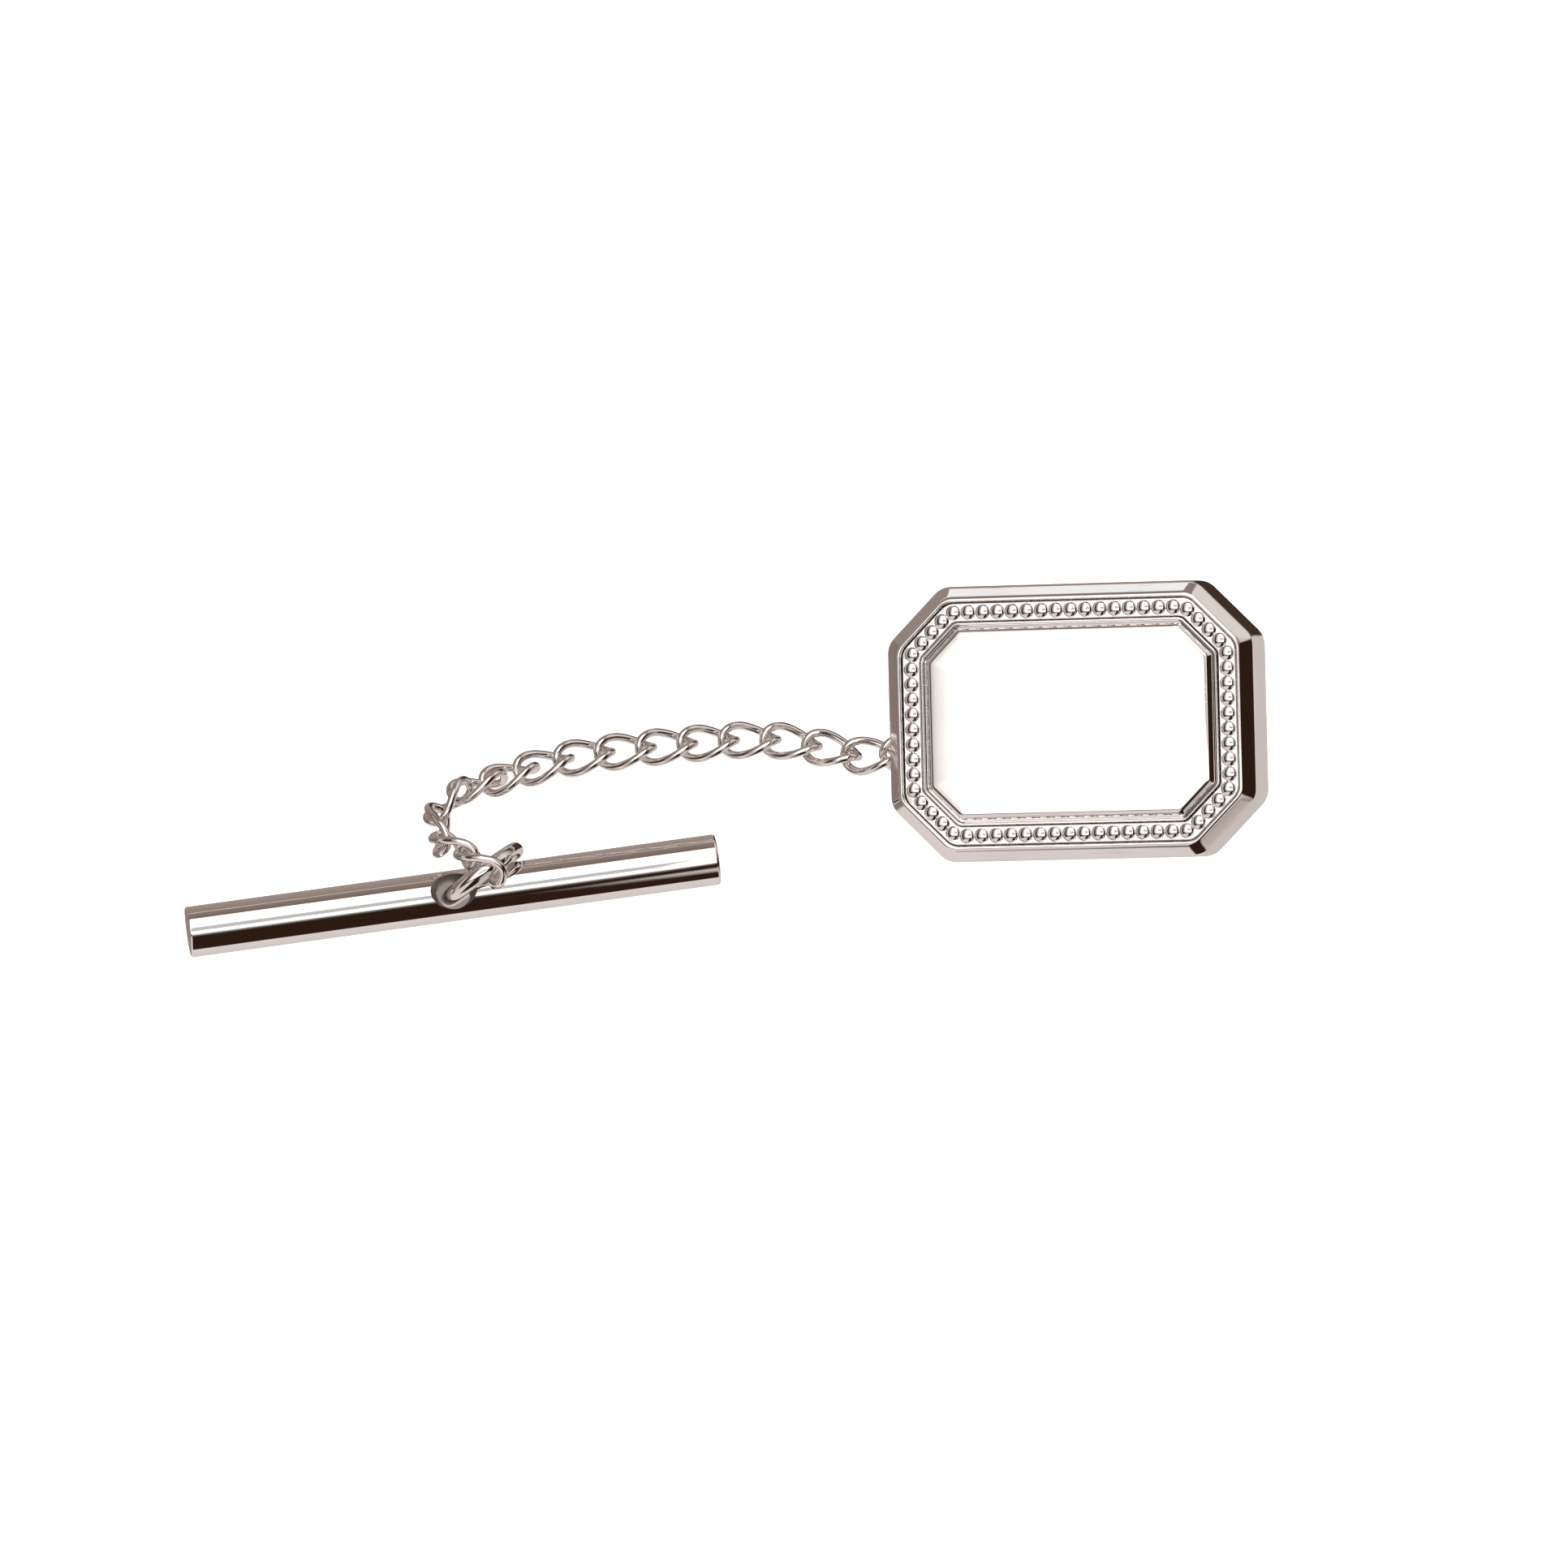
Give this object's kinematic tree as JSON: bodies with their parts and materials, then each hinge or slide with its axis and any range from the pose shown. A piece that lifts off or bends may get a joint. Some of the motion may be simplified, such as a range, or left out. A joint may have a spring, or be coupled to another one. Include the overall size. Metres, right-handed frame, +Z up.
{
  "type": "tie tack",
  "caption": "Tie tack: beaded cut-corner face on a pin, spring pinch clutch, and a curb chain to a T-bar.",
  "frame": {"origin": "centre of the overall box's underside, on the surface the tack lies on", "axes": "+Z up off the surface, +X from the T-bar towards the face, along the longest side"},
  "size_m": [0.0423, 0.0146, 0.0112],
  "materials": {
    "silver_plate": "bright polished silver-tone plating",
    "bright_steel": "bright drawn steel"
  },
  "bodies": {
    "tack": {"face_frame": "silver_plate", "bead_border": "silver_plate", "face_panel": "silver_plate", "back_plate": "silver_plate", "pin_pad": "silver_plate", "pin_post": "bright_steel"},
    "clutch": {"clutch_base": "silver_plate", "clutch_cage": "bright_steel"},
    "wing_right": {"clutch_wing_right": "bright_steel"},
    "wing_left": {"clutch_wing_left": "bright_steel"},
    "clutch_ring": {"clutch_ring": "silver_plate"},
    "link_01": {"chain_link_01": "silver_plate"},
    "link_02": {"chain_link_02": "silver_plate"},
    "link_03": {"chain_link_03": "silver_plate"},
    "link_04": {"chain_link_04": "silver_plate"},
    "link_05": {"chain_link_05": "silver_plate"},
    "link_06": {"chain_link_06": "silver_plate"},
    "link_07": {"chain_link_07": "silver_plate"},
    "link_08": {"chain_link_08": "silver_plate"},
    "link_09": {"chain_link_09": "silver_plate"},
    "link_10": {"chain_link_10": "silver_plate"},
    "link_11": {"chain_link_11": "silver_plate"},
    "link_12": {"chain_link_12": "silver_plate"},
    "link_13": {"chain_link_13": "silver_plate"},
    "link_14": {"chain_link_14": "silver_plate"},
    "link_15": {"chain_link_15": "silver_plate"},
    "link_16": {"chain_link_16": "silver_plate"},
    "link_17": {"chain_link_17": "silver_plate"},
    "bar_ring": {"bar_ring": "silver_plate"},
    "t_bar": {"t_bar": "silver_plate"}
  },
  "joints": [
    {"name": "clutch_slide", "type": "slide", "parent": "tack", "child": "clutch", "axis": [0.2587, 0.0063, -0.9659], "range_m": [-0.0012, 0.006]},
    {"name": "wing_right_pinch", "type": "hinge", "parent": "clutch", "child": "wing_right", "pos_m": [0.01631, 0.00192, 0.00341], "axis": [-0.0244, 0.9997, 0], "range_deg": [0, 10], "stiffness_Nm_per_rad": 0.000005, "springref_deg": -22.92},
    {"name": "wing_left_pinch", "type": "hinge", "parent": "clutch", "child": "wing_left", "pos_m": [0.01361, 0.00185, 0.00268], "axis": [0.0244, -0.9997, 0], "range_deg": [0, 10], "stiffness_Nm_per_rad": 0.000005, "springref_deg": -22.92},
    {"name": "clutch_ring_swing", "type": "hinge", "parent": "clutch", "child": "clutch_ring", "pos_m": [0.01036, 0.00177, 0.00398], "axis": [-0.2425, 0.9701, 0], "range_deg": [-3, 8]},
    {"name": "link_01_swing", "type": "hinge", "parent": "clutch_ring", "child": "link_01", "pos_m": [0.00919, 0.00152, 0.00288], "axis": [-0.3493, -0.1426, 0.9261], "range_deg": [-18, 18]},
    {"name": "link_02_swing", "type": "hinge", "parent": "link_01", "child": "link_02", "pos_m": [0.00785, 0.00098, 0.0023], "axis": [-0.1324, 0.9307, -0.3411], "range_deg": [-18, 18]},
    {"name": "link_03_swing", "type": "hinge", "parent": "link_02", "child": "link_03", "pos_m": [0.00638, 0.0006, 0.00173], "axis": [0.2579, -0.5513, -0.7934], "range_deg": [-18, 18]},
    {"name": "link_04_swing", "type": "hinge", "parent": "link_03", "child": "link_04", "pos_m": [0.00485, 0.00063, 0.00122], "axis": [-0.3352, -0.7193, 0.6084], "range_deg": [-18, 18]},
    {"name": "link_05_swing", "type": "hinge", "parent": "link_04", "child": "link_05", "pos_m": [0.00329, 0.0009, 0.00086], "axis": [0.0617, 0.6403, 0.7656], "range_deg": [-18, 18]},
    {"name": "link_06_swing", "type": "hinge", "parent": "link_05", "child": "link_06", "pos_m": [0.00169, 0.0011, 0.00073], "axis": [-0.0107, 0.766, -0.6428], "range_deg": [-18, 18]},
    {"name": "link_07_swing", "type": "hinge", "parent": "link_06", "child": "link_07", "pos_m": [0.00006, 0.00111, 0.00072], "axis": [0.0475, -0.641, -0.766], "range_deg": [-18, 18]},
    {"name": "link_08_swing", "type": "hinge", "parent": "link_07", "child": "link_08", "pos_m": [-0.00157, 0.00099, 0.00073], "axis": [0.0722, -0.7626, 0.6428], "range_deg": [-18, 18]},
    {"name": "link_09_swing", "type": "hinge", "parent": "link_08", "child": "link_09", "pos_m": [-0.00319, 0.00083, 0.00073], "axis": [-0.0793, 0.6379, 0.766], "range_deg": [-18, 18]},
    {"name": "link_10_swing", "type": "hinge", "parent": "link_09", "child": "link_10", "pos_m": [-0.00481, 0.00063, 0.00073], "axis": [-0.1343, 0.7542, -0.6427], "range_deg": [-18, 18]},
    {"name": "link_11_swing", "type": "hinge", "parent": "link_10", "child": "link_11", "pos_m": [-0.00641, 0.00034, 0.00075], "axis": [0.1662, -0.7248, -0.6687], "range_deg": [-18, 18]},
    {"name": "link_12_swing", "type": "hinge", "parent": "link_11", "child": "link_12", "pos_m": [-0.00787, -0.00004, 0.00081], "axis": [0.2182, -0.4746, 0.8527], "range_deg": [-18, 18]},
    {"name": "link_13_swing", "type": "hinge", "parent": "link_12", "child": "link_13", "pos_m": [-0.00917, -0.00044, 0.0009], "axis": [-0.2913, 0.9286, 0.2299], "range_deg": [-18, 18]},
    {"name": "link_14_swing", "type": "hinge", "parent": "link_13", "child": "link_14", "pos_m": [-0.01035, -0.00097, 0.0011], "axis": [-0.1733, -0.2556, -0.9511], "range_deg": [-14, 18]},
    {"name": "link_15_swing", "type": "hinge", "parent": "link_14", "child": "link_15", "pos_m": [-0.01109, -0.00182, 0.00156], "axis": [0.9806, 0.1912, 0.0436], "range_deg": [-14, 18]},
    {"name": "link_16_swing", "type": "hinge", "parent": "link_15", "child": "link_16", "pos_m": [-0.01094, -0.0027, 0.00231], "axis": [0.3729, -0.4332, -0.8206], "range_deg": [-18, 18]},
    {"name": "link_17_swing", "type": "hinge", "parent": "link_16", "child": "link_17", "pos_m": [-0.01011, -0.00338, 0.00301], "axis": [-0.5843, -0.7961, 0.1573], "range_deg": [-18, 18]},
    {"name": "bar_ring_swing", "type": "hinge", "parent": "link_17", "child": "bar_ring", "pos_m": [-0.00941, -0.00391, 0.00348], "axis": [-0.262, 0.3685, 0.892], "range_deg": [-10, 15]},
    {"name": "bar_swing", "type": "hinge", "parent": "bar_ring", "child": "t_bar", "pos_m": [-0.0096, -0.00411, 0.00193], "axis": [-0.5874, 0.8085, -0.0349], "range_deg": [-30, 8]}
  ],
  "couplings": [
    {"joint": "wing_left_pinch", "follows": "wing_right_pinch", "ratio": 1}
  ]
}
